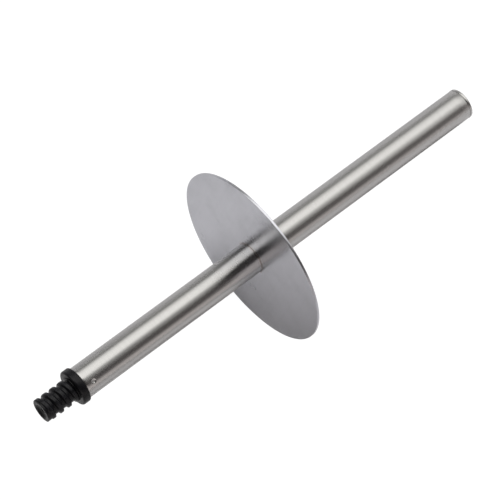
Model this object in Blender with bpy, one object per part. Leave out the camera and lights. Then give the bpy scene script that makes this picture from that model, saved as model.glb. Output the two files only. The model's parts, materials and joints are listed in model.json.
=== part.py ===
"""Stainless steel handle with a lid disc and a screw-in plastic thread for a brush head.

The pieces are drawn along a local axis: the lid's middle plane is at zero, the thread points
along -Z and the grip along +Z. One empty then lays that axis down as the handle lies on a
table, on the lid's rim and the edge of the end cap. World units are metres, +Z is up, and the
origin is on the table under the middle of the whole handle.
"""
import math

import bmesh
import bpy
from mathutils import Matrix, Vector

# Driving dimensions, in metres
TUBE_RADIUS = 0.008
TUBE_WALL = 0.0007
TUBE_EDGE_RADIUS = 0.00015
LOWER_LENGTH = 0.1038
UPPER_LENGTH = 0.1351
FIT_GAP = 0.0003

LID_RADIUS = 0.04625
LID_THICKNESS = 0.0012
LID_EDGE_RADIUS = 0.0004

WELD_LEG = 0.0014
WELD_HOLLOW_RADIUS = 0.0011

CAP_RADIUS = 0.0081
CAP_THICKNESS = 0.0014
CAP_EDGE_RADIUS = 0.0006
CAP_CUP_DEPTH = 0.008
CAP_CUP_WALL = 0.0007

COLLAR_RADIUS = 0.009
COLLAR_THICKNESS = 0.0041
COLLAR_FRONT_EDGE = 0.001
COLLAR_BACK_EDGE = 0.0006
SPIGOT_LENGTH = 0.018
SPIGOT_LEAD_IN = 0.001
GROOVE_DEPTH = 0.0006
GROOVE_WIDTH = 0.0034

THREAD_LENGTH = 0.0177
THREAD_PITCH = 0.00447
THREAD_CREST_RADIUS = 0.006
THREAD_ROOT_RADIUS = 0.0049
THREAD_TIP_RADIUS = 0.0052
THREAD_TIP_EDGE = 0.0006
THREAD_FILLET = 0.0006
THREAD_FOOT_RADIUS = 0.0062
THREAD_FOOT_HEIGHT = 0.0004

# The groove runs out short of the tip, and leaves a land of this share of the ridge's height
TIP_LAND_SHARE = 0.6
TIP_LAND_LENGTH = 0.0015
TIP_LAND_FADE = 0.0015

# Shape of one thread ridge, in turns: it rises, stays at its crest and falls to the root
THREAD_START = 0.426
THREAD_RISE_END = 0.24
THREAD_FALL_START = 0.54
THREAD_FALL_END = 0.78

# Two punch marks that lock the plug in the tube
STAKE_DEPTH = 0.0005
STAKE_RADIUS = 0.00125
STAKE_FROM_MOUTH = 0.0042
STAKE_ANGLES = (math.radians(29.5), math.radians(209.5))

# Facets
LID_SEGMENTS = 64
ROUND_SEGMENTS = 48
WELD_SEGMENTS = 32
TUBE_SEGMENTS = 36
THREAD_SEGMENTS = 36
THREAD_ROWS_PER_PITCH = 10
EDGE_STEPS = 3
STAKE_STEPS = 4

SHARP_ANGLE = math.radians(35.0)
MERGE_DISTANCE = 1e-7

# Worked out from the driving dimensions
BORE_RADIUS = TUBE_RADIUS - TUBE_WALL
SPIGOT_RADIUS = BORE_RADIUS - FIT_GAP
COLLAR_BACK = -LOWER_LENGTH - FIT_GAP
COLLAR_FRONT = COLLAR_BACK - COLLAR_THICKNESS
THREAD_BASE = COLLAR_FRONT - THREAD_FOOT_HEIGHT
THREAD_TIP = COLLAR_FRONT - THREAD_LENGTH
SPIGOT_END = SPIGOT_LENGTH - LOWER_LENGTH
STAKE_HEIGHT = STAKE_FROM_MOUTH - LOWER_LENGTH
CAP_INNER = UPPER_LENGTH + FIT_GAP
CAP_OUTER = CAP_INNER + CAP_THICKNESS
LID_HALF = LID_THICKNESS / 2.0
REST_TILT = math.atan((LID_RADIUS - CAP_RADIUS) / (CAP_OUTER - LID_HALF))


def clear_scene():
    """Remove the objects of the scene that the script starts in."""
    for item in list(bpy.data.objects):
        bpy.data.objects.remove(item, do_unlink=True)


def make_material(name, color, roughness, metallic):
    """A plain Principled BSDF."""
    material = bpy.data.materials.new(name)
    material.use_nodes = True
    shader = material.node_tree.nodes["Principled BSDF"]
    shader.inputs["Base Color"].default_value = (*color, 1.0)
    shader.inputs["Roughness"].default_value = roughness
    shader.inputs["Metallic"].default_value = metallic
    return material


def add_object(name, bm, material, axis):
    """Store a bmesh as a named object on the handle's axis, with its faces pointing out."""
    bmesh.ops.recalc_face_normals(bm, faces=bm.faces)
    mesh = bpy.data.meshes.new(name)
    bm.to_mesh(mesh)
    bm.free()
    mesh.materials.append(material)
    mesh.shade_smooth()
    mesh.set_sharp_from_angle(angle=SHARP_ANGLE)
    item = bpy.data.objects.new(name, mesh)
    bpy.context.scene.collection.objects.link(item)
    item.parent = axis
    return item


def round_edge(radius, height, edge, start_degrees, end_degrees):
    """Points (radius, height) of a round edge about its own centre."""
    points = []
    for step in range(EDGE_STEPS + 1):
        degrees = start_degrees + (end_degrees - start_degrees) * step / EDGE_STEPS
        angle = math.radians(degrees)
        points.append((radius + edge * math.cos(angle), height + edge * math.sin(angle)))
    return points


def turned_solid(outline, segments):
    """Turn an outline of (radius, height) points about the axis, with a flat facing +X.

    An outline that starts and ends on the axis is left open there; any other is closed.
    """
    bm = bmesh.new()
    verts = [bm.verts.new((radius, 0.0, height)) for radius, height in outline]
    edges = [bm.edges.new(pair) for pair in zip(verts, verts[1:])]
    if outline[0][0] > 0.0:
        edges.append(bm.edges.new((verts[-1], verts[0])))
    bmesh.ops.spin(
        bm,
        geom=verts + edges,
        cent=(0.0, 0.0, 0.0),
        axis=(0.0, 0.0, 1.0),
        angle=math.tau,
        steps=segments,
        use_merge=True,
    )
    bmesh.ops.remove_doubles(bm, verts=bm.verts, dist=MERGE_DISTANCE)
    half_facet = Matrix.Rotation(math.pi / segments, 3, "Z")
    bmesh.ops.rotate(bm, verts=bm.verts, cent=(0.0, 0.0, 0.0), matrix=half_facet)
    return bm


def ring_of(bm, angles, height, radius_at):
    """One ring of vertices at a height, whose radius may change with the angle."""
    ring = []
    for angle in angles:
        radius = radius_at(angle, height)
        ring.append(bm.verts.new((radius * math.cos(angle), radius * math.sin(angle), height)))
    return ring


def join_rings(bm, lower, upper):
    """Fill the band between two rings of the same length with four-sided faces."""
    count = len(lower)
    for index in range(count):
        after = (index + 1) % count
        bm.faces.new((lower[index], lower[after], upper[after], upper[index]))


def smooth_step(value):
    """Ease from 0 to 1."""
    value = min(max(value, 0.0), 1.0)
    return value * value * (3.0 - 2.0 * value)


def stake_dent(angle, height):
    """How far the punch marks push the tube's wall in, at a place on it."""
    dent = 0.0
    for stake_angle in STAKE_ANGLES:
        turn = math.remainder(angle - stake_angle, math.tau)
        distance = math.hypot(turn * TUBE_RADIUS, height - STAKE_HEIGHT)
        dent += STAKE_DEPTH * smooth_step(1.0 - distance / STAKE_RADIUS)
    return dent


def tube_angles():
    """Even angles about the tube, with closer ones across each punch mark."""
    angles = {round(math.tau * (step + 0.5) / TUBE_SEGMENTS, 9) for step in range(TUBE_SEGMENTS)}
    half_width = STAKE_RADIUS / TUBE_RADIUS
    for stake_angle in STAKE_ANGLES:
        angles = {angle for angle in angles if abs(angle - stake_angle) > half_width * 1.2}
        for step in range(-STAKE_STEPS, STAKE_STEPS + 1):
            angles.add(round(stake_angle + half_width * step / STAKE_STEPS, 9))
    return sorted(angles)


def tube_heights():
    """Heights of the tube's rings, with closer ones across the punch marks."""
    steps = range(-STAKE_STEPS, STAKE_STEPS + 1)
    heights = [STAKE_HEIGHT + STAKE_RADIUS * step / STAKE_STEPS for step in steps]
    return [TUBE_EDGE_RADIUS - LOWER_LENGTH, *heights, 0.0, UPPER_LENGTH - TUBE_EDGE_RADIUS]


def add_handle_tube(axis, steel):
    """One tube from the plug to the end cap, open at both mouths and staked over the plug."""
    bm = bmesh.new()
    angles = tube_angles()
    heights = tube_heights()
    rings = [ring_of(bm, angles, z, lambda a, h: TUBE_RADIUS - stake_dent(a, h)) for z in heights]
    rim = TUBE_RADIUS - TUBE_EDGE_RADIUS
    rings.append(ring_of(bm, angles, UPPER_LENGTH, lambda a, h: rim))
    rings += [
        ring_of(bm, angles, z, lambda a, h: BORE_RADIUS - stake_dent(a, h))
        for z in [UPPER_LENGTH, *reversed(heights[1:-1]), -LOWER_LENGTH]
    ]
    rings.append(ring_of(bm, angles, -LOWER_LENGTH, lambda a, h: rim))
    for lower, upper in zip(rings, rings[1:] + rings[:1]):
        join_rings(bm, lower, upper)
    return add_object("handle_tube", bm, steel, axis)


def add_lid_disc(axis, steel):
    """A flat sheet disc with rounded edges, its hole a close fit round the tube."""
    edge_radius = LID_RADIUS - LID_EDGE_RADIUS
    edge_height = LID_HALF - LID_EDGE_RADIUS
    hole = TUBE_RADIUS + FIT_GAP
    outline = [(hole, -LID_HALF)]
    outline += round_edge(edge_radius, -edge_height, LID_EDGE_RADIUS, -90.0, 0.0)
    outline += round_edge(edge_radius, edge_height, LID_EDGE_RADIUS, 0.0, 90.0)
    outline.append((hole, LID_HALF))
    return add_object("lid_disc", turned_solid(outline, LID_SEGMENTS), steel, axis)


def add_lid_weld(axis, weld):
    """The fillet of weld metal round the tube, on the grip side of the lid."""
    foot = LID_HALF + FIT_GAP
    inner = TUBE_RADIUS + FIT_GAP
    outline = [(inner, foot), (inner + WELD_LEG, foot)]
    outline += round_edge(inner + WELD_LEG, foot + WELD_LEG, WELD_HOLLOW_RADIUS, -115.0, -155.0)
    outline.append((inner, foot + WELD_LEG))
    return add_object("lid_weld", turned_solid(outline, WELD_SEGMENTS), weld, axis)


def add_end_cap(axis, steel):
    """A pressed cap: a flat face with a rounded edge, and a cup that fills the tube's bore."""
    cup_radius = SPIGOT_RADIUS
    cup_end = UPPER_LENGTH - CAP_CUP_DEPTH
    inside = cup_radius - CAP_CUP_WALL
    edge_radius = CAP_RADIUS - CAP_EDGE_RADIUS
    outline = [(0.0, CAP_OUTER)]
    outline += round_edge(edge_radius, CAP_OUTER - CAP_EDGE_RADIUS, CAP_EDGE_RADIUS, 90.0, 0.0)
    outline += [
        (CAP_RADIUS, CAP_INNER),
        (cup_radius, CAP_INNER),
        (cup_radius, cup_end),
        (inside, cup_end),
        (inside, CAP_OUTER - CAP_CUP_WALL),
        (0.0, CAP_OUTER - CAP_CUP_WALL),
    ]
    return add_object("end_cap", turned_solid(outline, ROUND_SEGMENTS), steel, axis)


def ridge_height(turn):
    """Height of the thread's ridge, 0 at the root and 1 at the crest, over one turn."""
    phase = turn % 1.0
    rise = smooth_step(phase / THREAD_RISE_END)
    fall = smooth_step((phase - THREAD_FALL_START) / (THREAD_FALL_END - THREAD_FALL_START))
    return rise - fall


def thread_radius(angle, height):
    """Radius of the right-handed thread, with a fillet at its foot and a land at its tip."""
    pitches = (COLLAR_FRONT - height) / THREAD_PITCH
    from_tip = height - THREAD_TIP
    land = TIP_LAND_SHARE * (1.0 - smooth_step((from_tip - TIP_LAND_LENGTH) / TIP_LAND_FADE))
    ridge = max(land, ridge_height(pitches + angle / math.tau + THREAD_START))
    radius = THREAD_ROOT_RADIUS + (THREAD_CREST_RADIUS - THREAD_ROOT_RADIUS) * ridge
    short = max(0.0, 1.0 - (THREAD_BASE - height) / THREAD_FILLET)
    radius = max(radius, THREAD_ROOT_RADIUS + THREAD_FILLET * short * short)
    edge = max(0.0, 1.0 - from_tip / THREAD_TIP_EDGE)
    rounding = 1.0 - math.sqrt(1.0 - edge * edge)
    tip_limit = THREAD_CREST_RADIUS - (THREAD_CREST_RADIUS - THREAD_TIP_RADIUS) * rounding
    return min(radius, tip_limit)


def plug_outline():
    """Spigot, locking groove, collar and thread foot of the plug, as (radius, height) points."""
    groove_bottom = STAKE_HEIGHT - GROOVE_WIDTH / 2.0
    groove_top = STAKE_HEIGHT + GROOVE_WIDTH / 2.0
    groove_radius = SPIGOT_RADIUS - GROOVE_DEPTH
    back_height = COLLAR_BACK - COLLAR_BACK_EDGE
    front_height = COLLAR_FRONT + COLLAR_FRONT_EDGE
    outline = [
        (SPIGOT_RADIUS - SPIGOT_LEAD_IN, SPIGOT_END),
        (SPIGOT_RADIUS, SPIGOT_END - SPIGOT_LEAD_IN),
        (SPIGOT_RADIUS, groove_top + GROOVE_DEPTH),
        (groove_radius, groove_top),
        (groove_radius, groove_bottom),
        (SPIGOT_RADIUS, groove_bottom - GROOVE_DEPTH),
        (SPIGOT_RADIUS, COLLAR_BACK),
    ]
    back_radius = COLLAR_RADIUS - COLLAR_BACK_EDGE
    front_radius = COLLAR_RADIUS - COLLAR_FRONT_EDGE
    outline += round_edge(back_radius, back_height, COLLAR_BACK_EDGE, 90.0, 0.0)
    outline += round_edge(front_radius, front_height, COLLAR_FRONT_EDGE, 0.0, -90.0)
    outline += [(THREAD_FOOT_RADIUS, COLLAR_FRONT), (THREAD_FOOT_RADIUS, THREAD_BASE)]
    return outline


def add_threaded_plug(axis, plastic):
    """One moulding: a spigot in the tube, a collar on its mouth and the brush thread."""
    bm = bmesh.new()
    angles = [math.tau * (step + 0.5) / THREAD_SEGMENTS for step in range(THREAD_SEGMENTS)]
    rings = []
    for radius, height in plug_outline():
        rings.append(ring_of(bm, angles, height, lambda a, h, r=radius: r))
    rows = round(THREAD_LENGTH / THREAD_PITCH * THREAD_ROWS_PER_PITCH)
    for row in range(rows + 1):
        height = THREAD_BASE + (THREAD_TIP - THREAD_BASE) * row / rows
        rings.append(ring_of(bm, angles, height, thread_radius))
    for lower, upper in zip(rings, rings[1:]):
        join_rings(bm, lower, upper)
    bm.faces.new(rings[0])
    bm.faces.new(rings[-1])
    return add_object("threaded_plug", bm, plastic, axis)


def lay_down(axis, pieces):
    """Lay the handle on the table, thread end up, with the origin under its middle."""
    axis.rotation_euler = (0.0, math.pi / 2.0 + REST_TILT, 0.0)
    bpy.context.view_layer.update()
    places = [piece.matrix_world @ vert.co for piece in pieces for vert in piece.data.vertices]
    low = Vector(min(place[side] for place in places) for side in range(3))
    high = Vector(max(place[side] for place in places) for side in range(3))
    middle = (low + high) / 2.0
    axis.location = (-middle.x, -middle.y, -low.z)


def main():
    """Build every piece on the handle's axis and lay the handle down."""
    clear_scene()
    axis = bpy.data.objects.new("handle_axis", None)
    bpy.context.scene.collection.objects.link(axis)
    tube_steel = make_material("tube_steel", (0.56, 0.55, 0.54), 0.24, 1.0)
    sheet_steel = make_material("sheet_steel", (0.58, 0.58, 0.58), 0.3, 1.0)
    weld_steel = make_material("weld_steel", (0.42, 0.37, 0.33), 0.42, 1.0)
    black_plastic = make_material("black_plastic", (0.014, 0.014, 0.016), 0.38, 0.0)
    pieces = [
        add_handle_tube(axis, tube_steel),
        add_lid_disc(axis, sheet_steel),
        add_lid_weld(axis, weld_steel),
        add_end_cap(axis, tube_steel),
        add_threaded_plug(axis, black_plastic),
    ]
    lay_down(axis, pieces)


main()
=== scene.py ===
"""Looks of a stainless brush handle: a steel tube, a lid disc, an end cap and a plastic thread.

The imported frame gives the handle's place and direction. Each sub-assembly is a class that builds
its own meshes along the handle's axis and dresses them in a procedural finish.
"""
import json
import logging
import math
from collections.abc import Callable, Sequence
from dataclasses import dataclass, field
from enum import Enum

import bmesh
import bpy
from mathutils import Matrix, Vector


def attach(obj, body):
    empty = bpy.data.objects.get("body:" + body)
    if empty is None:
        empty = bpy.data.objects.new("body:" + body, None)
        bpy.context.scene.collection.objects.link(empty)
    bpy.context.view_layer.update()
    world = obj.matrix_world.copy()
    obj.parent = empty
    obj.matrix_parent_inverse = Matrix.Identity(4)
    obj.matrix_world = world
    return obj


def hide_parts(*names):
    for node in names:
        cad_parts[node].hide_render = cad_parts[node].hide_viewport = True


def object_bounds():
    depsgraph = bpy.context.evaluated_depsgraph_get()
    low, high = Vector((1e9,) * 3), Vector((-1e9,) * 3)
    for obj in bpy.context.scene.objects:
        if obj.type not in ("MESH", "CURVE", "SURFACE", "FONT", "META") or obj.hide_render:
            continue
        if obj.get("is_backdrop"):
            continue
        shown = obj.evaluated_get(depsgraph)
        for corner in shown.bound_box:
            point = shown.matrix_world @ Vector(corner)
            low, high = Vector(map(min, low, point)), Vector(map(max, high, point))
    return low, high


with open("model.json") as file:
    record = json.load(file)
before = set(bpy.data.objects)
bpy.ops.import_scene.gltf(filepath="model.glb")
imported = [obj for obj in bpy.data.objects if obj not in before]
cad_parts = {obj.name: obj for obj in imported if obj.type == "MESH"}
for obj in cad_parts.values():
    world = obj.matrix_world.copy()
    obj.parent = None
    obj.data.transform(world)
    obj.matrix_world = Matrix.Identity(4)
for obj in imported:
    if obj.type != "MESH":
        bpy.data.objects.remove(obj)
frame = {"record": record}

LOG = logging.getLogger("brush_handle")
BODY = "root"

# The radius of a fan's first ring, and the angles above which an edge stays sharp
HUB = 0.0008
SHARP_DEGREES = 40.0
BEAD_SHARP_DEGREES = 60.0

RadiusRule = Callable[[float, float], float]
Profile = Sequence[tuple[float, float]]


class Slot(Enum):
    """Material slots of the record."""

    TUBE_STEEL = "tube_steel"
    SHEET_STEEL = "sheet_steel"
    WELD_STEEL = "weld_steel"
    BLACK_PLASTIC = "black_plastic"


class Direction(Enum):
    """Which way brushing lines run about the handle's axis."""

    ROUND = "round"
    STRAIGHT = "straight"
    TURNED = "turned"


# ---------------------------------------------------------------------------------------------
# The handle's place in the frame


@dataclass(frozen=True)
class HandleAxis:
    """The handle's own axis: zero at the lid's middle, +Z to the grip end, +X down at rest."""

    centre: Vector
    grip: Vector
    collar_front: float
    grip_end: float
    lid_half: float = 0.0006
    collar_thickness: float = 0.0041
    cap_thickness: float = 0.0014
    seam: float = 0.0001

    @classmethod
    def from_record(cls, record: dict) -> "HandleAxis":
        """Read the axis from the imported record's mounts.

        Args:
            record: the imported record, whose mounts lie on the collar, the lid and the end cap.

        Returns:
            The axis, with the stations of the collar's front and the grip end along it.
        """
        mounts = {mount["name"]: mount for mount in record["mounts"]}
        grip = Vector(mounts["grip_end_face"]["axis"]).normalized()
        end = Vector(mounts["grip_end_face"]["pos_m"])
        lid_face = (Vector(mounts["holder_rim_seat"]["pos_m"]) - end).dot(grip)
        collar = (Vector(mounts["brush_seat"]["pos_m"]) - end).dot(grip)
        middle = lid_face + cls.lid_half
        return cls(end + grip * middle, grip, collar - middle, -middle)

    @property
    def collar_back(self) -> float:
        """Station of the collar's back, which bears on the tube's mouth."""
        return self.collar_front + self.collar_thickness

    @property
    def lower_mouth(self) -> float:
        """Station of the tube's mouth at the collar."""
        return self.collar_back + self.seam

    @property
    def upper_mouth(self) -> float:
        """Station of the tube's mouth at the end cap."""
        return self.grip_end - self.cap_thickness - self.seam

    def matrix(self) -> Matrix:
        """Place a piece that is drawn along the handle's axis.

        Returns:
            The matrix from the handle's own axis to the frame.
        """
        across = Vector((0.0, 1.0, 0.0))
        down = across.cross(self.grip)
        turn = Matrix((down, across, self.grip)).transposed().to_4x4()
        return Matrix.Translation(self.centre) @ turn


# ---------------------------------------------------------------------------------------------
# Mesh tools


def ease(value: float) -> float:
    """Ease from 0 to 1 as the value goes from 0 to 1."""
    value = min(max(value, 0.0), 1.0)
    return value * value * (3.0 - 2.0 * value)


def even_angles(count: int) -> list[float]:
    """Angles at even steps round a full turn."""
    return [math.tau * step / count for step in range(count)]


def rounded(radius: float, height: float, edge: float, start: float, end: float,
            steps: int = 8) -> list[tuple[float, float]]:
    """Points of a round edge on a turned profile.

    Args:
        radius: the radius at which the edge's own centre lies.
        height: the height of that centre.
        edge: the edge's radius.
        start: the first angle, in degrees, 0 pointing out and 90 up.
        end: the last angle, in degrees.
        steps: how many stretches the arc has.

    Returns:
        The arc as (radius, height) points.
    """
    angles = [math.radians(start + (end - start) * step / steps) for step in range(steps + 1)]
    return [(radius + edge * math.cos(a), height + edge * math.sin(a)) for a in angles]


@dataclass
class RingMesh:
    """A mesh made of rings of vertices about the handle's axis."""

    angles: Sequence[float]
    bm: bmesh.types.BMesh = field(default_factory=bmesh.new)
    rings: list[list[bmesh.types.BMVert]] = field(default_factory=list)

    def add(self, height: float, radius_at: RadiusRule, lift: RadiusRule | None = None) -> None:
        """Add a ring.

        Args:
            height: the ring's height along the axis.
            radius_at: the radius for an angle and a height.
            lift: what is added to the height, for an angle and a height.
        """
        ring = []
        for angle in self.angles:
            radius = radius_at(angle, height)
            place = height + (lift(angle, height) if lift else 0.0)
            ring.append(self.bm.verts.new(
                (radius * math.cos(angle), radius * math.sin(angle), place)))
        self.rings.append(ring)

    def add_profile(self, profile: Profile) -> None:
        """Add one plain ring for each (radius, height) point."""
        for radius, height in profile:
            self.add(height, lambda angle, at, r=radius: r)

    def join(self, closed: bool) -> None:
        """Fill the bands between the rings.

        Args:
            closed: whether the last ring joins the first. If it doesn't, both ends are capped.
        """
        pairs = list(zip(self.rings, self.rings[1:]))
        if closed:
            pairs.append((self.rings[-1], self.rings[0]))
        count = len(self.angles)
        for lower, upper in pairs:
            for index in range(count):
                after = (index + 1) % count
                self.bm.faces.new((lower[index], lower[after], upper[after], upper[index]))
        if not closed:
            self.cap(self.rings[0])
            self.cap(self.rings[-1])

    def cap(self, ring: list[bmesh.types.BMVert]) -> None:
        """Close a ring with a fan of triangles about the axis.

        Args:
            ring: the ring's vertices, in order.
        """
        middle = self.bm.verts.new((0.0, 0.0, sum(v.co.z for v in ring) / len(ring)))
        for index, vert in enumerate(ring):
            self.bm.faces.new((vert, ring[(index + 1) % len(ring)], middle))

    def to_object(self, name: str, axis: HandleAxis, sharp_degrees: float) -> bpy.types.Object:
        """Make the object that carries the mesh.

        Args:
            name: the piece's name.
            axis: where the handle lies.
            sharp_degrees: edges with a larger angle than this stay sharp.

        Returns:
            The new object, smooth shaded and in place.
        """
        bmesh.ops.recalc_face_normals(self.bm, faces=self.bm.faces)
        mesh = bpy.data.meshes.new(name)
        self.bm.to_mesh(mesh)
        self.bm.free()
        mesh.shade_smooth()
        mesh.set_sharp_from_angle(angle=math.radians(sharp_degrees))
        piece = bpy.data.objects.new(name, mesh)
        bpy.context.scene.collection.objects.link(piece)
        piece.matrix_world = axis.matrix()
        return piece


# ---------------------------------------------------------------------------------------------
# Shader tools and shared effects

# Where the Mix node keeps its colours among its unnamed sockets
MIX_FIRST_COLOR = 6
MIX_SECOND_COLOR = 7
MIX_RESULT_COLOR = 2

WHITE = (1.0, 1.0, 1.0, 1.0)


def opaque(color: Sequence[float]) -> tuple[float, ...]:
    """A colour with the full alpha that a colour socket needs."""
    return (*color, 1.0)


@dataclass
class NodeTree:
    """A node tree with short calls for the nodes that the finishes use."""

    tree: bpy.types.NodeTree

    def fill(self, socket: bpy.types.NodeSocket, value: object) -> None:
        """Link a socket to another, or set its value.

        Args:
            socket: the input to fill.
            value: an output socket to link to it, or a plain value.
        """
        if isinstance(value, bpy.types.NodeSocket):
            self.tree.links.new(value, socket)
        else:
            socket.default_value = value

    def fill_all(self, made: bpy.types.Node, inputs: dict[str, object]) -> bpy.types.Node:
        """Fill some of a node's inputs.

        Args:
            made: the node.
            inputs: socket names, with spaces as underscores, and a value or a socket for each.

        Returns:
            The same node.
        """
        for key, value in inputs.items():
            self.fill(made.inputs[key.replace("_", " ")], value)
        return made

    def node(self, kind: str, **inputs: object) -> bpy.types.Node:
        """Add a node of a type and fill its inputs."""
        return self.fill_all(self.tree.nodes.new(kind), inputs)

    def group(self, group: bpy.types.NodeTree, **inputs: object) -> bpy.types.Node:
        """Place a node group.

        Args:
            group: the group's own tree.
            **inputs: socket names, with spaces as underscores, and a value or a socket for each.

        Returns:
            The new node.
        """
        made = self.tree.nodes.new("ShaderNodeGroup")
        made.node_tree = group
        return self.fill_all(made, inputs)

    def operation(self, kind: str, operation: str, *values: object) -> bpy.types.Node:
        """Add a node that has an operation, and fill its first inputs in order.

        Args:
            kind: the node's type name.
            operation: the operation's name.
            *values: a value or a socket for each input.

        Returns:
            The new node.
        """
        made = self.tree.nodes.new(kind)
        made.operation = operation
        for socket, value in zip(made.inputs, values):
            self.fill(socket, value)
        return made

    def math(self, operation: str, *values: object) -> bpy.types.NodeSocket:
        """A Math node's result for one to three values."""
        return self.operation("ShaderNodeMath", operation, *values).outputs[0]

    def between(self, value: object, low: object, high: object, to_low: float = 0.0,
                to_high: float = 1.0) -> bpy.types.NodeSocket:
        """Ease a value from one range to another, and hold it at the ends.

        Args:
            value: the value.
            low: where the change starts.
            high: where the change ends.
            to_low: the result at the start.
            to_high: the result at the end.

        Returns:
            The result.
        """
        made = self.tree.nodes.new("ShaderNodeMapRange")
        made.interpolation_type = "SMOOTHSTEP"
        for socket, part in zip(made.inputs, (value, low, high, to_low, to_high)):
            self.fill(socket, part)
        return made.outputs[0]

    def mix(self, factor: object, first: object, second: object,
            blend: str = "MIX") -> bpy.types.NodeSocket:
        """Mix two colours.

        Args:
            factor: how much the second colour counts.
            first: the first colour.
            second: the second colour.
            blend: the blend type's name.

        Returns:
            The mixed colour.
        """
        made = self.tree.nodes.new("ShaderNodeMix")
        made.data_type = "RGBA"
        made.blend_type = blend
        self.fill(made.inputs["Factor"], factor)
        self.fill(made.inputs[MIX_FIRST_COLOR], first)
        self.fill(made.inputs[MIX_SECOND_COLOR], second)
        return made.outputs[MIX_RESULT_COLOR]

    def noise(self, vector: object, scale: object, detail: float = 3.0,
              roughness: float = 0.55) -> bpy.types.NodeSocket:
        """Draw noise from 0 to 1.

        Args:
            vector: the place.
            scale: how fine the noise is.
            detail: how many finer layers it has.
            roughness: how strong the finer layers are.

        Returns:
            The noise's value.
        """
        made = self.node("ShaderNodeTexNoise", Vector=vector, Scale=scale, Detail=detail,
                         Roughness=roughness)
        return made.outputs[0]

    def dot(self, first: object, second: object) -> bpy.types.NodeSocket:
        """The dot product of two vectors."""
        return self.operation("ShaderNodeVectorMath", "DOT_PRODUCT", first, second).outputs["Value"]

    def length(self, vector: object) -> bpy.types.NodeSocket:
        """The length of a vector."""
        return self.operation("ShaderNodeVectorMath", "LENGTH", vector).outputs["Value"]

    def stretched(self, vector: object, scale: tuple[float, float, float]) -> bpy.types.NodeSocket:
        """A vector scaled by its own amount on each side."""
        return self.operation("ShaderNodeVectorMath", "MULTIPLY", vector, scale).outputs[0]

    def off_axis(self, place: object) -> bpy.types.NodeSocket:
        """How far a place is from the handle's axis."""
        return self.length(self.stretched(place, (1.0, 1.0, 0.0)))


@dataclass
class GroupSockets:
    """Names of a node group's inputs, with their defaults, and of its outputs."""

    inputs: dict[str, tuple[str, float | None]]
    outputs: dict[str, str]

    def make(self, name: str) -> tuple[NodeTree, bpy.types.Node, bpy.types.Node]:
        """Make an empty group with these sockets.

        Args:
            name: the group's name.

        Returns:
            The group's tree, its input node and its output node.
        """
        tree = bpy.data.node_groups.new(name, "ShaderNodeTree")
        for label, (kind, default) in self.inputs.items():
            socket = tree.interface.new_socket(label, in_out="INPUT", socket_type=kind)
            if default is not None:
                socket.default_value = default
        for label, kind in self.outputs.items():
            tree.interface.new_socket(label, in_out="OUTPUT", socket_type=kind)
        nodes = NodeTree(tree)
        return nodes, nodes.node("NodeGroupInput"), nodes.node("NodeGroupOutput")


VECTOR = "NodeSocketVector"
FLOAT = "NodeSocketFloat"
COLOR = "NodeSocketColor"


def brushing_group() -> bpy.types.NodeTree:
    """Fine parallel lines, drawn in a vector that is already stretched across them.

    Returns:
        A group with a Lines value about 0.5, a wider Bands value and a Height for bump.
    """
    sockets = GroupSockets(
        {"Vector": (VECTOR, None), "Fine": (FLOAT, 6000.0), "Wide": (FLOAT, 700.0)},
        {"Lines": FLOAT, "Bands": FLOAT, "Height": FLOAT},
    )
    band_share = 0.6
    nodes, given, result = sockets.make("brushing")
    place = given.outputs["Vector"]
    fine = nodes.noise(place, given.outputs["Fine"], detail=2.0, roughness=0.7)
    wide = nodes.noise(place, given.outputs["Wide"], detail=4.0, roughness=0.6)
    height = nodes.math("MULTIPLY_ADD", wide, band_share, fine)
    nodes.fill_all(result, {"Lines": fine, "Bands": wide, "Height": height})
    return nodes.tree


def handling_group() -> bpy.types.NodeTree:
    """Faint smudges and haze from handling.

    Returns:
        A group with a Haze mask from 0 to 1.
    """
    sockets = GroupSockets(
        {"Vector": (VECTOR, None), "Scale": (FLOAT, 60.0), "Cover": (FLOAT, 0.5)},
        {"Haze": FLOAT},
    )
    full_haze = 0.8
    cover_span = 0.5
    nodes, given, result = sockets.make("handling")
    cloud = nodes.noise(given.outputs["Vector"], given.outputs["Scale"], detail=5.0, roughness=0.6)
    span = nodes.math("MULTIPLY", given.outputs["Cover"], cover_span)
    start = nodes.math("SUBTRACT", full_haze, span)
    nodes.fill_all(result, {"Haze": nodes.between(cloud, start, full_haze)})
    return nodes.tree


def heat_tint_group() -> bpy.types.NodeTree:
    """The straw and brown colours that welding leaves, fading with distance from the weld.

    Returns:
        A group with the tinted Color and a Mask from 0 to 1.
    """
    sockets = GroupSockets(
        {"Color": (COLOR, None), "Vector": (VECTOR, None), "Distance": (FLOAT, 0.0),
         "Reach": (FLOAT, 0.006), "Amount": (FLOAT, 0.6)},
        {"Color": COLOR, "Mask": FLOAT},
    )
    straw = (1.0, 0.9, 0.78, 1.0)
    brown = (0.5, 0.36, 0.28, 1.0)
    patch_scale = 220.0
    patch_span = 1.2
    patch_least = 0.4
    nodes, given, result = sockets.make("heat_tint")
    patches = nodes.noise(given.outputs["Vector"], patch_scale)
    ragged = nodes.math("MULTIPLY_ADD", patches, patch_span, patch_least)
    reach = nodes.math("MULTIPLY", given.outputs["Reach"], ragged)
    near = nodes.math("SUBTRACT", 1.0, nodes.math("DIVIDE", given.outputs["Distance"], reach))
    eased = nodes.between(near, 0.0, 1.0)
    mask = nodes.math("MULTIPLY", eased, given.outputs["Amount"])
    tinted = nodes.mix(mask, given.outputs["Color"], nodes.mix(eased, straw, brown), "MULTIPLY")
    nodes.fill_all(result, {"Color": tinted, "Mask": mask})
    return nodes.tree


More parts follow.
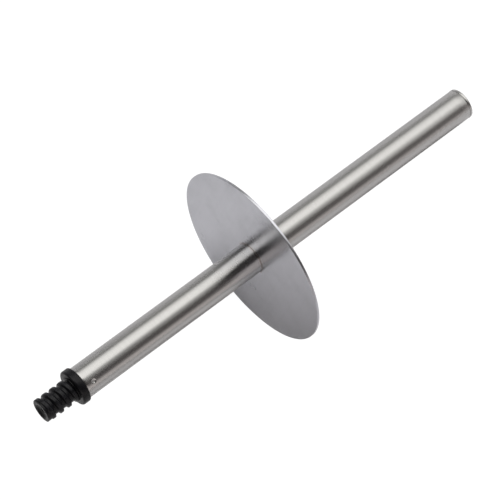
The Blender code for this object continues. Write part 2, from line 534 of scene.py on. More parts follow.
@dataclass(frozen=True)
class SharedEffects:
    """The node groups that more than one finish uses."""

    brushing: bpy.types.NodeTree
    handling: bpy.types.NodeTree
    heat_tint: bpy.types.NodeTree

    @classmethod
    def build(cls) -> "SharedEffects":
        """Build each group once."""
        return cls(brushing_group(), handling_group(), heat_tint_group())


@dataclass(frozen=True)
class Surface:
    """A new material: its nodes, its Principled shader and the place on the surface."""

    material: bpy.types.Material
    nodes: NodeTree
    shader: bpy.types.Node
    place: bpy.types.NodeSocket

    @classmethod
    def make(cls, name: str) -> "Surface":
        """Make a material.

        Args:
            name: the material's name.

        Returns:
            The surface, whose shader still has its usual settings.
        """
        material = bpy.data.materials.new(name)
        material.use_nodes = True
        nodes = NodeTree(material.node_tree)
        shader = material.node_tree.nodes["Principled BSDF"]
        return cls(material, nodes, shader, nodes.node("ShaderNodeTexCoord").outputs["Object"])

    def dress(self, **inputs: object) -> None:
        """Fill the shader's inputs, named with underscores for spaces."""
        self.nodes.fill_all(self.shader, inputs)

    def emboss(self, height: object, strength: float, depth: float) -> None:
        """Give the surface a fine relief.

        Args:
            height: the relief's height.
            strength: how strongly it shows.
            depth: how deep it is, in metres.
        """
        bump = self.nodes.node("ShaderNodeBump", Strength=strength, Distance=depth, Height=height)
        self.dress(Normal=bump.outputs[0])


# ---------------------------------------------------------------------------------------------
# Finishes

QUARTER_TURN = 0.25


@dataclass(frozen=True)
class BrushedSteel:
    """Stainless steel with fine brushing lines and, near a weld, a heat tint."""

    name: str
    color: tuple[float, float, float]
    roughness: float
    brushing: Direction
    line_depth: float = 0.04
    line_roughness: float = 0.5
    line_squeeze: float = 0.02
    band_depth: float = 0.06
    cloud_depth: float = 0.05
    cloud_cover: float = 0.5
    cloud_roughness: float = 0.05
    anisotropy: float = 0.0
    tint_from: float = 0.0
    tint_reach: float = 0.0
    tint_amount: float = 0.0
    tint_roughness: float = 0.06
    bump: float = 0.03
    bump_depth: float = 0.0001

    def lines_vector(self, nodes: NodeTree, place: bpy.types.NodeSocket) -> bpy.types.NodeSocket:
        """Squeeze the place on the surface along the brushing lines.

        Args:
            nodes: the material's nodes.
            place: the place on the surface.

        Returns:
            The squeezed place.
        """
        squeeze = self.line_squeeze
        if self.brushing is Direction.ROUND:
            return nodes.stretched(place, (squeeze, squeeze, 1.0))
        if self.brushing is Direction.STRAIGHT:
            return nodes.stretched(place, (squeeze, 1.0, squeeze))
        height = nodes.node("ShaderNodeSeparateXYZ", Vector=place).outputs[2]
        return nodes.node("ShaderNodeCombineXYZ", X=nodes.off_axis(place), Z=height).outputs[0]

    def distance(self, nodes: NodeTree, place: bpy.types.NodeSocket) -> bpy.types.NodeSocket:
        """Measure how far the surface is from the weld, along the tube or out over the lid.

        Args:
            nodes: the material's nodes.
            place: the place on the surface.

        Returns:
            The distance in metres.
        """
        if self.brushing is Direction.ROUND:
            parts = nodes.node("ShaderNodeSeparateXYZ", Vector=place)
            return nodes.math("ABSOLUTE", parts.outputs[2])
        return nodes.math("SUBTRACT", nodes.off_axis(place), self.tint_from)

    def departure(self, nodes: NodeTree, value: object, depth: float) -> bpy.types.NodeSocket:
        """How far a noise value takes the shade from its mean, for a depth to each side."""
        return nodes.math("MULTIPLY", nodes.math("SUBTRACT", value, 0.5), depth * 2.0)

    def build(self, effects: SharedEffects) -> bpy.types.Material:
        """Make the material.

        Args:
            effects: the shared node groups.

        Returns:
            The new material.
        """
        surface = Surface.make(self.name)
        nodes, place = surface.nodes, surface.place
        lines = nodes.group(effects.brushing, Vector=self.lines_vector(nodes, place))
        handled = nodes.group(effects.handling, Vector=place, Cover=self.cloud_cover)
        haze = handled.outputs["Haze"]
        dark = self.departure(nodes, lines.outputs["Bands"], self.band_depth)
        fleck = self.departure(nodes, lines.outputs["Lines"], self.line_depth)
        shade = nodes.math("ADD", 1.0, nodes.math("ADD", dark, fleck))
        shade = nodes.math("MULTIPLY_ADD", haze, -self.cloud_depth, shade)
        tone = nodes.operation("ShaderNodeVectorMath", "SCALE", self.color)
        nodes.fill(tone.inputs["Scale"], shade)
        color = tone.outputs[0]
        rough = nodes.math("MULTIPLY_ADD", haze, self.cloud_roughness, self.roughness)
        rough = nodes.math("ADD", rough, nodes.math("MULTIPLY", fleck, self.line_roughness))
        if self.tint_amount > 0.0:
            tint = nodes.group(effects.heat_tint, Color=color, Vector=place,
                               Distance=self.distance(nodes, place), Reach=self.tint_reach,
                               Amount=self.tint_amount)
            color = tint.outputs["Color"]
            rough = nodes.math("MULTIPLY_ADD", tint.outputs["Mask"], self.tint_roughness, rough)
        surface.dress(Base_Color=color, Roughness=rough, Metallic=1.0)
        surface.emboss(lines.outputs["Height"], self.bump, self.bump_depth)
        if self.anisotropy > 0.0:
            tangent = nodes.tree.nodes.new("ShaderNodeTangent")
            tangent.direction_type = "RADIAL"
            tangent.axis = "Z"
            surface.dress(Tangent=tangent.outputs[0], Anisotropic=self.anisotropy,
                          Anisotropic_Rotation=QUARTER_TURN)
        return surface.material


@dataclass(frozen=True)
class WeldMetal:
    """Weld metal: duller than the sheet, with straw and brown patches."""

    name: str = "weld_metal"
    color: tuple[float, float, float] = (0.34, 0.31, 0.28)
    burnt: tuple[float, float, float] = (0.13, 0.09, 0.07)
    patch_scale: float = 500.0
    patch_edge: tuple[float, float] = (0.35, 0.7)
    roughness: float = 0.34
    haze_scale: float = 900.0
    haze_roughness: float = 0.15
    grain_scale: float = 4000.0
    detail: float = 4.0
    bump: float = 0.15
    bump_depth: float = 0.0001

    def build(self, effects: SharedEffects) -> bpy.types.Material:
        """Make the material.

        Args:
            effects: the shared node groups.

        Returns:
            The new material.
        """
        surface = Surface.make(self.name)
        nodes, place = surface.nodes, surface.place
        patches = nodes.between(nodes.noise(place, self.patch_scale, self.detail), *self.patch_edge)
        color = nodes.mix(patches, opaque(self.color), opaque(self.burnt))
        handled = nodes.group(effects.handling, Vector=place, Scale=self.haze_scale)
        rough = nodes.math("MULTIPLY_ADD", handled.outputs["Haze"], self.haze_roughness,
                           self.roughness)
        surface.dress(Base_Color=color, Metallic=1.0, Roughness=rough)
        grain = nodes.noise(place, self.grain_scale, self.detail)
        surface.emboss(grain, self.bump, self.bump_depth)
        return surface.material


@dataclass(frozen=True)
class MouldedPlastic:
    """Black moulded plastic with a fine spark-eroded grain and rubbed thread crests."""

    name: str = "moulded_plastic"
    color: tuple[float, float, float] = (0.004, 0.004, 0.005)
    rubbed: tuple[float, float, float] = (0.012, 0.012, 0.014)
    rubbed_roughness: float = 0.08
    crest_radius: float = 0.006
    crest_width: float = 0.00025
    wear_scale: float = 900.0
    wear_edge: tuple[float, float] = (0.4, 0.65)
    roughness: float = 0.3
    haze_scale: float = 400.0
    haze_roughness: float = 0.12
    ior: float = 1.5
    specular: float = 0.22
    grain_scale: float = 9000.0
    grain_detail: float = 2.0
    bump: float = 0.12
    bump_depth: float = 0.00005

    def build(self, effects: SharedEffects) -> bpy.types.Material:
        """Make the material.

        Args:
            effects: the shared node groups.

        Returns:
            The new material.
        """
        surface = Surface.make(self.name)
        nodes, place = surface.nodes, surface.place
        out = nodes.math("SUBTRACT", nodes.off_axis(place), self.crest_radius)
        near_crest = nodes.between(nodes.math("ABSOLUTE", out), self.crest_width, 0.0)
        wear = nodes.between(nodes.noise(place, self.wear_scale), *self.wear_edge)
        worn = nodes.math("MULTIPLY", near_crest, wear)
        color = nodes.mix(worn, opaque(self.color), opaque(self.rubbed))
        handled = nodes.group(effects.handling, Vector=place, Scale=self.haze_scale)
        rough = nodes.math("MULTIPLY_ADD", handled.outputs["Haze"], self.haze_roughness,
                           self.roughness)
        rough = nodes.math("MULTIPLY_ADD", worn, self.rubbed_roughness, rough)
        surface.dress(Base_Color=color, Roughness=rough, IOR=self.ior,
                      Specular_IOR_Level=self.specular)
        grain = nodes.noise(place, self.grain_scale, self.grain_detail)
        surface.emboss(grain, self.bump, self.bump_depth)
        return surface.material


@dataclass(frozen=True)
class FloorPaper:
    """White paper under the handle. To the camera it glows nearly white, as if lit from below, so that
    only a hint of shadow shows; farther out it carries a painted shade, a darker grey that shows in
    reflections.
    """

    name: str = "floor_paper"
    color: tuple[float, float, float] = (0.8, 0.8, 0.8)
    grain_scale: float = 600.0
    grain_light: float = 1.01
    # Painted shade: the darker grey the paper takes farther out, standing in for light falling off,
    # eased in over the distances below
    far_painted_shade: tuple[float, float, float] = (0.5, 0.5, 0.5)
    shade_fade: tuple[float, float] = (0.1, 0.45)
    roughness: float = 0.9
    glow: float = 1.14
    glow_share: float = 0.86

    def build(self) -> bpy.types.Material:
        """Make the material, with a very faint paper grain and a painted shade that greys the paper
        farther out.

        Returns:
            The new material.
        """
        surface = Surface.make(self.name)
        nodes, place = surface.nodes, surface.place
        pale = tuple(part * self.grain_light for part in self.color)
        grain = nodes.noise(place, self.grain_scale)
        paper = nodes.mix(grain, opaque(self.color), opaque(pale))
        # Painted shade: the paper turns darker grey farther from the middle; camera rays see it only
        # faintly under the glow, reflections see it fully
        far = nodes.between(nodes.length(place), *self.shade_fade)
        surface.dress(Base_Color=nodes.mix(far, paper, opaque(self.far_painted_shade)),
                      Roughness=self.roughness, Specular_IOR_Level=0.0)
        glow = nodes.node("ShaderNodeEmission", Color=WHITE, Strength=self.glow)
        seen = nodes.node("ShaderNodeLightPath").outputs["Is Camera Ray"]
        mixed = nodes.tree.nodes.new("ShaderNodeMixShader")
        nodes.fill(mixed.inputs[0], nodes.math("MULTIPLY", seen, self.glow_share))
        nodes.fill(mixed.inputs[1], surface.shader.outputs[0])
        nodes.fill(mixed.inputs[2], glow.outputs[0])
        output = nodes.tree.nodes["Material Output"]
        nodes.fill(output.inputs["Surface"], mixed.outputs[0])
        return surface.material


# ---------------------------------------------------------------------------------------------
# Sub-assemblies


@dataclass
class Part:
    """What every sub-assembly has: its axis, the body it rides on and its finish."""

    axis: HandleAxis
    effects: SharedEffects

    def settle(self, piece: bpy.types.Object, material: bpy.types.Material, node: str,
               slot: Slot) -> bpy.types.Object:
        """Dress a piece, put it on its body and let it stand for its CAD node.

        Args:
            piece: the new piece, in place.
            material: its finish.
            node: the CAD node that it stands for.
            slot: the record's material slot; not used.

        Returns:
            The same piece.
        """
        piece.data.materials.append(material)
        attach(piece, BODY)
        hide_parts(node)
        LOG.info("%s: %d faces, stands for %s", piece.name, len(piece.data.polygons), node)
        return piece


@dataclass
class HandleTube(Part):
    """The steel tube, right through the lid, punched over the plug near its threaded end."""

    radius: float = 0.008
    wall: float = 0.0007
    mouth_edge: float = 0.00015
    first_station: float = 0.001
    stake_depth: float = 0.0005
    stake_radius: float = 0.0013
    stake_slope: float = 1.15
    stake_margin: float = 1.25
    stake_from_mouth: float = 0.0042
    stake_angles: tuple[float, float] = (math.radians(29.5), math.radians(209.5))
    close_count: int = 10
    close_past: int = 2
    plain_margin: float = 0.004
    plain_steps: int = 40
    segments: int = 144

    def dent(self, angle: float, height: float) -> float:
        """Work out how far the punch marks push the wall in.

        Args:
            angle: the angle about the axis.
            height: the height along it.

        Returns:
            The dent's depth there.
        """
        mark = self.axis.lower_mouth + self.stake_from_mouth
        depth = 0.0
        for stake_angle in self.stake_angles:
            turn = math.remainder(angle - stake_angle, math.tau)
            away = math.hypot(turn * self.radius, height - mark)
            depth += self.stake_depth * ease(self.stake_slope * (1.0 - away / self.stake_radius))
        return depth

    def close_steps(self, middle: float, reach: float) -> list[float]:
        """Space places closely across a punch mark and a little past it.

        Args:
            middle: the mark's middle, as an angle or a height.
            reach: the mark's radius, in the same unit.

        Returns:
            The places, in rising order.
        """
        last = self.close_count + self.close_past
        return [middle + reach * step / self.close_count for step in range(-last, last + 1)]

    def angles(self) -> list[float]:
        """Space the tube's lines round it, closer across each punch mark.

        Returns:
            The angles, in rising order.
        """
        reach = self.stake_radius / self.radius
        fine = [angle for stake in self.stake_angles for angle in self.close_steps(stake, reach)]
        kept = [angle for angle in even_angles(self.segments)
                if all(abs(angle - stake) > reach * self.stake_margin
                       for stake in self.stake_angles)]
        return sorted(kept + fine)

    def heights(self) -> list[float]:
        """Space the tube's rings along it, closer across the punch marks.

        Returns:
            The heights, in rising order, without those of the mouths.
        """
        lower = self.axis.lower_mouth
        mark = lower + self.stake_from_mouth
        start = mark + self.plain_margin
        span = self.axis.upper_mouth - mark - 2.0 * self.plain_margin
        plain = [start + span * step / self.plain_steps for step in range(self.plain_steps + 1)]
        return [lower + self.first_station, *self.close_steps(mark, self.stake_radius), *plain]

    def build(self, finish: BrushedSteel) -> bpy.types.Object:
        """Build the tube's outer and inner walls and its rounded mouths.

        Args:
            finish: the tube's finish.

        Returns:
            The tube.
        """
        lower, upper = self.axis.lower_mouth, self.axis.upper_mouth
        heights = self.heights()
        edge = self.mouth_edge
        inner = self.radius - self.wall
        body = RingMesh(self.angles())
        body.add_profile(rounded(self.radius - edge, lower + edge, edge, -90.0, -10.0, steps=5))
        for height in heights:
            body.add(height, lambda a, h: self.radius - self.dent(a, h))
        body.add_profile(rounded(self.radius - edge, upper - edge, edge, 10.0, 90.0, steps=5))
        body.add_profile([(inner, upper)])
        for height in reversed(heights):
            body.add(height, lambda a, h: inner - self.dent(a, h))
        body.add_profile([(inner, lower)])
        body.join(closed=True)
        piece = body.to_object("tube", self.axis, SHARP_DEGREES)
        return self.settle(piece, finish.build(self.effects), "handle_tube", Slot.TUBE_STEEL)


@dataclass
class LidDisc(Part):
    """The flat sheet disc, with rounded edges and a close hole for the tube."""

    radius: float = 0.04625
    half: float = 0.0006
    edge: float = 0.0001
    hole: float = 0.00804
    hole_edge: float = 0.00015
    stations: tuple[float, ...] = (0.011, 0.015, 0.02, 0.026, 0.032, 0.038, 0.042)
    wave_height: float = 0.00003
    wave_turn: float = 0.6
    segments: int = 256

    def profile(self) -> list[tuple[float, float]]:
        """Draw the disc's outline, once round its section.

        Returns:
            The outline as (radius, height) points.
        """
        low, high = -self.half, self.half
        hole = self.hole + self.hole_edge
        outer = self.radius - self.edge
        points = rounded(hole, high - self.hole_edge, self.hole_edge, 180.0, 90.0, steps=5)
        points += [(radius, high) for radius in self.stations]
        points += rounded(outer, high - self.edge, self.edge, 90.0, 0.0, steps=7)
        points += rounded(outer, low + self.edge, self.edge, 0.0, -90.0, steps=7)
        points += [(radius, low) for radius in reversed(self.stations)]
        points += rounded(hole, low + self.hole_edge, self.hole_edge, -90.0, -180.0, steps=5)
        return points

    def wave(self, angle: float, radius: float) -> float:
        """A dish of a few hundredths of a millimetre, none at the hole."""
        out = (radius - self.hole) / (self.radius - self.hole)
        return self.wave_height * out * out * math.sin(2.0 * angle + self.wave_turn)

    def build(self, finish: BrushedSteel) -> bpy.types.Object:
        """Build the disc, a hair wavy as pressed sheet is.

        Args:
            finish: the disc's finish.

        Returns:
            The disc.
        """
        body = RingMesh(even_angles(self.segments))
        for radius, height in self.profile():
            body.add(height, lambda a, h, r=radius: r,
                     lambda a, h, r=radius: self.wave(a, r))
        body.join(closed=True)
        piece = body.to_object("lid", self.axis, SHARP_DEGREES)
        return self.settle(piece, finish.build(self.effects), "lid_disc", Slot.SHEET_STEEL)


@dataclass
class LidWeld(Part):
    """The bead of weld metal round the tube, on the grip side of the lid."""

    inner: float = 0.00802
    foot: float = 0.00062
    leg: float = 0.0016
    least: float = 0.92
    swells: tuple[tuple[float, float, float], ...] = ((0.08, 3.0, 1.0), (0.05, 7.0, 0.0))
    ripples: int = 46
    ripple_steps: int = 8
    ripple_height: float = 0.07
    ripple_lean: float = 0.9
    hollow: float = 0.22
    steps: int = 9

    def size(self, angle: float, turn: float) -> float:
        """Work out how far the bead stands out from its corner.

        Args:
            angle: the angle round the tube.
            turn: the angle round the bead, 0 on the lid and a quarter turn on the tube.

        Returns:
            The distance from the corner.
        """
        swell = sum(part * math.sin(count * angle + start) for part, count, start in self.swells)
        lean = self.ripple_lean * math.sin(turn)
        ripple = self.ripple_height * abs(math.sin(self.ripples * angle / 2.0 + lean))
        flat = 1.0 - self.hollow * math.sin(2.0 * turn)
        return self.leg * flat * (self.least + swell + ripple)

    def build(self, finish: WeldMetal) -> bpy.types.Object:
        """Build the bead with its ripples, a little uneven round the tube.

        Args:
            finish: the bead's finish.

        Returns:
            The bead.
        """
        body = RingMesh(even_angles(self.ripples * self.ripple_steps))
        body.add(self.foot, lambda a, h: self.inner)
        for step in range(self.steps + 1):
            turn = math.radians(90.0 * step / self.steps)
            body.add(self.foot, lambda a, h, t=turn: self.inner + self.size(a, t) * math.cos(t),
                     lambda a, h, t=turn: self.size(a, t) * math.sin(t))
        body.join(closed=True)
        piece = body.to_object("weld_bead", self.axis, BEAD_SHARP_DEGREES)
        return self.settle(piece, finish.build(self.effects), "lid_weld", Slot.WELD_STEEL)


@dataclass
class EndCap(Part):
    """The pressed cap in the grip end, with a shallow turned face."""

    radius: float = 0.00808
    edge: float = 0.0004
    under_edge: float = 0.00015
    ring: tuple[float, float] = (0.0055, 0.0065)
    ring_slope: float = 0.0003
    ring_depth: float = 0.00012
    cup_radius: float = 0.007
    cup_wall: float = 0.0007
    cup_depth: float = 0.008
    cup_corner: float = 0.0003
    neck: float = 0.0001
    segments: int = 144

    def profile(self) -> list[tuple[float, float]]:
        """Draw the cap's outline, from its face round to the inside of the cup.

        Returns:
            The outline as (radius, height) points.
        """
        top = self.axis.grip_end
        under = top - self.axis.cap_thickness
        sunk = top - self.ring_depth
        floor = top - self.cup_wall
        inside = self.cup_radius - self.cup_wall
        cup_end = under - self.cup_depth
        ring_in, ring_out = self.ring
        under_edge = self.under_edge
        points = [(HUB, top), (ring_in, top), (ring_in + self.ring_slope, sunk)]
        points += [(ring_out - self.ring_slope, sunk), (ring_out, top)]
        points += rounded(self.radius - self.edge, top - self.edge, self.edge, 90.0, 0.0, steps=8)
        points += rounded(self.radius - under_edge, under + under_edge, under_edge, 0.0, -90.0, steps=4)
        points += [(self.cup_radius + self.neck, under), (self.cup_radius, under - self.neck)]
        points += [(self.cup_radius, cup_end), (inside, cup_end)]
        points += [(inside, floor - self.cup_corner), (inside - self.cup_corner, floor)]
        points += [(HUB, floor)]
        return points

    def build(self, finish: BrushedSteel) -> bpy.types.Object:
        """Build the cap's face, its rounded edge and the cup in the tube.

        Args:
            finish: the cap's finish.

        Returns:
            The cap.
        """
        body = RingMesh(even_angles(self.segments))
        body.add_profile(self.profile())
        body.join(closed=False)
        piece = body.to_object("cap", self.axis, SHARP_DEGREES)
        return self.settle(piece, finish.build(self.effects), "end_cap", Slot.TUBE_STEEL)


@dataclass
class ThreadedPlug(Part):
    """The black moulding: a spigot in the tube, a collar on its mouth and the brush thread."""

    collar_radius: float = 0.009
    front_edge: float = 0.001
    back_edge: float = 0.0006
    spigot_radius: float = 0.007
    spigot_length: float = 0.0183
    lead_in: float = 0.001
    groove_depth: float = 0.0006
    groove_from_collar: float = 0.0045
    groove_width: float = 0.0034
    foot_radius: float = 0.0062
    foot_height: float = 0.0004
    foot_corner: float = 0.0002
    length: float = 0.0177
    pitch: float = 0.00447
    crest: float = 0.006
    root: float = 0.0049
    start: float = 0.426
    rise_end: float = 0.24
    fall_start: float = 0.54
    fall_end: float = 0.78
    fillet: float = 0.0006
    land_share: float = 0.6
    land_length: float = 0.0015
    land_fade: float = 0.0015
    tip_radius: float = 0.0052
    tip_edge: float = 0.0006
    dish_radius: float = 0.0042
    dish_depth: float = 0.0011
    dish_steps: int = 6
    core_radius: float = 0.0015
    core_taper: float = 0.0002
    core_depth: float = 0.0012
    core_corner: float = 0.0003
    core_floor: float = 0.0009
    parting: float = 0.00006
    parting_turn: float = 0.5
    parting_width: float = 0.02
    segments: int = 180
    rows: int = 170

    def ridge(self, turn: float) -> float:
        """Draw the thread's ridge over one turn.

        Args:
            turn: how many turns there are from the thread's start.

        Returns:
            The ridge's height, from 0 at the root to 1 at the crest.
        """
        phase = turn % 1.0
        rise = ease(phase / self.rise_end)
        fall = ease((phase - self.fall_start) / (self.fall_end - self.fall_start))
        return rise - fall

    def thread(self, angle: float, height: float) -> float:
        """Work out the radius of the right-handed thread.

        Args:
            angle: the angle about the axis.
            height: the height along it.

        Returns:
            The thread's radius there, with its foot fillet, parting line and tip land.
        """
        from_collar = self.axis.collar_front - height
        from_tip = self.length - from_collar
        land = self.land_share * (1.0 - ease((from_tip - self.land_length) / self.land_fade))
        ridge = self.ridge(from_collar / self.pitch + angle / math.tau + self.start)
        radius = self.root + (self.crest - self.root) * max(ridge, land)
        short = max(0.0, 1.0 - (from_collar - self.foot_height) / self.fillet)
        radius = max(radius, self.root + self.fillet * short * short)
        off_line = math.sin(angle + self.parting_turn) / self.parting_width
        radius += self.parting * math.exp(-off_line ** 2)
        edge = min(1.0, max(0.0, 1.0 - from_tip / self.tip_edge))
        rounding = 1.0 - math.sqrt(1.0 - edge * edge)
        return min(radius, self.crest - (self.crest - self.tip_radius) * rounding)

    def body_profile(self) -> list[tuple[float, float]]:
        """Draw the outline of the spigot, groove, collar and thread foot.

        Returns:
            The outline as (radius, height) points.
        """
        front, back = self.axis.collar_front, self.axis.collar_back
        end = back + self.spigot_length
        middle = back + self.groove_from_collar
        low, high = middle - self.groove_width / 2.0, middle + self.groove_width / 2.0
        spigot, corner = self.spigot_radius, self.foot_corner
        groove = spigot - self.groove_depth
        points = [(HUB, end), (spigot - self.lead_in, end), (spigot, end - self.lead_in)]
        points += [(spigot, high + self.groove_depth), (groove, high)]
        points += [(groove, low), (spigot, low - self.groove_depth)]
        points += [(spigot, back)]
        back_radius = self.collar_radius - self.back_edge
        front_radius = self.collar_radius - self.front_edge
        points += rounded(back_radius, back - self.back_edge, self.back_edge, 90.0, 0.0, steps=6)
        points += rounded(front_radius, front + self.front_edge, self.front_edge, 0.0, -90.0, steps=8)
        points += rounded(self.foot_radius + corner, front - corner, corner, 90.0, 180.0, steps=4)
        points += [(self.foot_radius, front - self.foot_height)]
        return points

    def tip_profile(self, bottom: float) -> list[tuple[float, float]]:
        """Draw the outline of the dished tip face and the small core hole in it.

        Args:
            bottom: the tip's height.

        Returns:
            The outline as (radius, height) points.
        """
        points = []
        for step in range(self.dish_steps + 1):
            share = step / self.dish_steps
            radius = self.dish_radius + (self.core_radius - self.dish_radius) * share
            points.append((radius, bottom + self.dish_depth * math.sin(share * math.pi / 2.0)))
        mouth = points[-1][1]
        inner = self.core_radius - self.core_taper
        deep = bottom + self.dish_depth + self.core_depth
        points += [(inner, mouth + self.core_corner), (inner, deep - self.core_corner)]
        return points + [(self.core_floor, deep)]

    def build(self, finish: MouldedPlastic) -> bpy.types.Object:
        """Build the moulding as one closed mesh.

        Args:
            finish: the moulding's finish.

        Returns:
            The moulding.
        """
        body = RingMesh(even_angles(self.segments))
        body.add_profile(self.body_profile())
        top = self.axis.collar_front - self.foot_height
        bottom = self.axis.collar_front - self.length
        for row in range(self.rows + 1):
            body.add(top + (bottom - top) * row / self.rows, self.thread)
        body.add_profile(self.tip_profile(bottom))
        body.join(closed=False)
        piece = body.to_object("plug", self.axis, SHARP_DEGREES)
        return self.settle(piece, finish.build(self.effects), "threaded_plug", Slot.BLACK_PLASTIC)


# ---------------------------------------------------------------------------------------------
# Studio


@dataclass(frozen=True)
class SoftBox:
    """A soft rectangular light, turned to the lid's middle and unseen in the metal."""

    name: str
    way: tuple[float, float, float]
    distance: float
    size: tuple[float, float]
    power: float
    color: tuple[float, float, float] = (1.0, 1.0, 1.0)

    def hang(self, centre: Vector) -> bpy.types.Object:
        """Hang the light.

        Args:
            centre: the point that it is turned to.

        Returns:
            The light.
        """
        data = bpy.data.lights.new(self.name, "AREA")
        data.shape = "RECTANGLE"
        data.size, data.size_y = self.size
        data.energy = self.power
        data.color = self.color
        light = bpy.data.objects.new(self.name, data)
        bpy.context.scene.collection.objects.link(light)
        way = Vector(self.way).normalized()
        light.rotation_mode = "QUATERNION"
        light.rotation_quaternion = way.to_track_quat("Z", "Y")
        light.location = centre + way * self.distance
        light.visible_camera = False
        light.visible_glossy = False
        return light


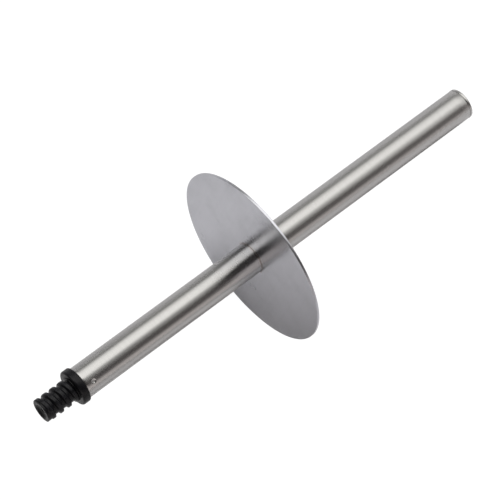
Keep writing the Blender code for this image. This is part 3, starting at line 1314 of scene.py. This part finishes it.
@dataclass
class Studio:
    """The floor, the light and the camera."""

    axis: HandleAxis
    floor_size: float = 8.0
    floor_segments: int = 96
    floor_gap: float = 0.00002
    azimuth: float = math.radians(-38.86)
    elevation: float = math.radians(80.182)
    distance: float = 1.0769
    lens: float = 165.72
    sensor: float = 36.0
    aim: tuple[float, float, float] = (0.00135, 0.00303, 0.00056)
    key: SoftBox = SoftBox(
        "key_box", (0.6, 0.8, 0.75), 3.0, (2.6, 1.6), 96.0, (0.99, 0.985, 1.0))
    fill: SoftBox = SoftBox(
        "fill_box", (0.1, -0.9, 0.42), 1.0, (0.9, 0.4), 3.4, (1.0, 0.945, 0.93))
    bank_side: float = 0.8
    bank_bends: tuple[tuple[float, float], ...] = ((0.26, 0.146), (0.6, 0.0), (2.2, -0.944))
    bank_near_edge: tuple[float, float] = (0.15, 0.39)
    bank_low_edge: tuple[float, float] = (0.2, 0.68)
    bank_light: float = 1.62
    bank_color: tuple[float, float, float] = (1.0, 0.99, 0.96)
    gap_ends: tuple[float, float] = (0.5, 0.75)
    gap_light: float = 0.05
    gap_end_light: float = 0.35
    cove_side: tuple[float, float, float] = (-0.365, -0.931, 0.0)
    cove_edge: tuple[float, float] = (0.58, 0.76)
    cove_light: float = 0.8
    cove_color: tuple[float, float, float] = (1.0, 0.93, 0.9)
    cove_color_edge: tuple[float, float] = (-0.1, 0.3)
    back_edge: tuple[float, float] = (0.12, 0.38)
    back_ends: tuple[float, float] = (-0.3, 0.15)
    back_light: float = 0.5
    back_end_share: float = 0.35
    diffuse_share: float = 0.22

    def floor(self, lowest: float) -> bpy.types.Object:
        """Lay the floor.

        Args:
            lowest: the height of the handle's lowest point.

        Returns:
            The floor, marked as no part of the object.
        """
        bm = bmesh.new()
        bmesh.ops.create_circle(
            bm, cap_ends=True, radius=self.floor_size, segments=self.floor_segments)
        mesh = bpy.data.meshes.new("floor")
        bm.to_mesh(mesh)
        bm.free()
        mesh.materials.append(FloorPaper().build())
        floor = bpy.data.objects.new("floor", mesh)
        bpy.context.scene.collection.objects.link(floor)
        floor.location.z = lowest - self.floor_gap
        floor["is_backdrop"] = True
        return floor

    def bank(self, nodes: NodeTree, along: bpy.types.Node) -> bpy.types.NodeSocket:
        """Draw the long light bank, whose near edge is a bent line.

        Args:
            nodes: the world's nodes.
            along: the separated direction.

        Returns:
            The bank's light in that direction.
        """
        bends = [nodes.math("MULTIPLY_ADD", along.outputs[0], *line) for line in self.bank_bends]
        bend = nodes.math("MAXIMUM", nodes.math("MAXIMUM", bends[0], bends[1]), bends[2])
        across = nodes.math("MULTIPLY_ADD", along.outputs[1], self.bank_side, bend)
        shape = nodes.math("MULTIPLY", nodes.between(across, *self.bank_near_edge),
                           nodes.between(along.outputs[2], *self.bank_low_edge))
        return nodes.math("MULTIPLY", shape, self.bank_light)

    def back(self, nodes: NodeTree, along: bpy.types.Node) -> bpy.types.NodeSocket:
        """Draw the low light all round, weaker behind the thread end.

        Args:
            nodes: the world's nodes.
            along: the separated direction.

        Returns:
            The low light in that direction.
        """
        low = nodes.between(along.outputs[2], *self.back_edge, self.back_light, 0.0)
        ends = nodes.between(along.outputs[0], *self.back_ends, self.back_end_share, 1.0)
        return nodes.math("MULTIPLY", low, ends)

    def world(self) -> None:
        """Surround the handle with a long light bank, a dark gap beside it and a pale cove.

        The camera sees plain white instead, and the matt surfaces get only a share of the light.
        """
        world = bpy.data.worlds.new("studio")
        bpy.context.scene.world = world
        world.use_nodes = True
        nodes = NodeTree(world.node_tree)
        way = nodes.node("ShaderNodeTexCoord").outputs["Generated"]
        along = nodes.node("ShaderNodeSeparateXYZ", Vector=way)
        gap = nodes.between(along.outputs[0], *self.gap_ends, self.gap_light, self.gap_end_light)
        facing = nodes.dot(way, self.cove_side)
        cove = nodes.between(facing, *self.cove_edge, 0.0, self.cove_light)
        level = nodes.math("MAXIMUM", nodes.math("MAXIMUM", self.bank(nodes, along), gap),
                           nodes.math("MAXIMUM", cove, self.back(nodes, along)))
        path = nodes.node("ShaderNodeLightPath")
        share = nodes.math("MULTIPLY_ADD", path.outputs["Is Diffuse Ray"],
                           self.diffuse_share - 1.0, 1.0)
        level = nodes.math("MULTIPLY", level, share)
        seen = path.outputs["Is Camera Ray"]
        strength = nodes.math("MULTIPLY_ADD", seen, nodes.math("SUBTRACT", 1.0, level), level)
        warm = nodes.mix(nodes.between(facing, *self.cove_color_edge), opaque(self.bank_color),
                         opaque(self.cove_color))
        background = {"Color": nodes.mix(seen, warm, WHITE), "Strength": strength}
        nodes.fill_all(world.node_tree.nodes["Background"], background)

    def camera(self) -> bpy.types.Object:
        """Place the camera above the handle, aimed just beside the lid's middle.

        Returns:
            The camera.
        """
        data = bpy.data.cameras.new("camera")
        data.lens = self.lens
        data.sensor_width = self.sensor
        camera = bpy.data.objects.new("camera", data)
        bpy.context.scene.collection.objects.link(camera)
        level = math.cos(self.elevation)
        back = Vector((math.sin(self.azimuth) * level, -math.cos(self.azimuth) * level,
                       math.sin(self.elevation)))
        camera.rotation_mode = "QUATERNION"
        camera.rotation_quaternion = (-back).to_track_quat("-Z", "Y")
        camera.location = self.axis.centre + Vector(self.aim) + back * self.distance
        bpy.context.scene.camera = camera
        return camera


def main() -> None:
    """Build the handle piece by piece, then the studio round it."""
    logging.basicConfig(level=logging.INFO, format="%(name)s: %(message)s")
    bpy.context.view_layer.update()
    axis = HandleAxis.from_record(frame["record"])
    effects = SharedEffects.build()
    steel = (0.51, 0.505, 0.5)
    tube_steel = BrushedSteel("tube_steel", steel, 0.26, Direction.ROUND, anisotropy=0.87,
                              tint_reach=0.0016, tint_amount=0.5)
    cap_steel = BrushedSteel("cap_steel", steel, 0.26, Direction.TURNED, anisotropy=0.6,
                             band_depth=0.16, line_depth=0.1)
    sheet_steel = BrushedSteel(
        "sheet_steel", (0.585, 0.59, 0.632), 0.24, Direction.STRAIGHT, tint_from=0.008,
        tint_reach=0.0012, tint_amount=0.4, cloud_depth=0.12, cloud_cover=0.85)
    HandleTube(axis, effects).build(tube_steel)
    LidDisc(axis, effects).build(sheet_steel)
    LidWeld(axis, effects).build(WeldMetal())
    EndCap(axis, effects).build(cap_steel)
    ThreadedPlug(axis, effects).build(MouldedPlastic())
    studio = Studio(axis)
    studio.camera()
    studio.key.hang(axis.centre)
    studio.fill.hang(axis.centre)
    studio.world()
    bpy.context.view_layer.update()
    studio.floor(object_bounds()[0].z)
    bpy.context.scene.view_settings.view_transform = "Standard"


if __name__ == "__main__":
    main()
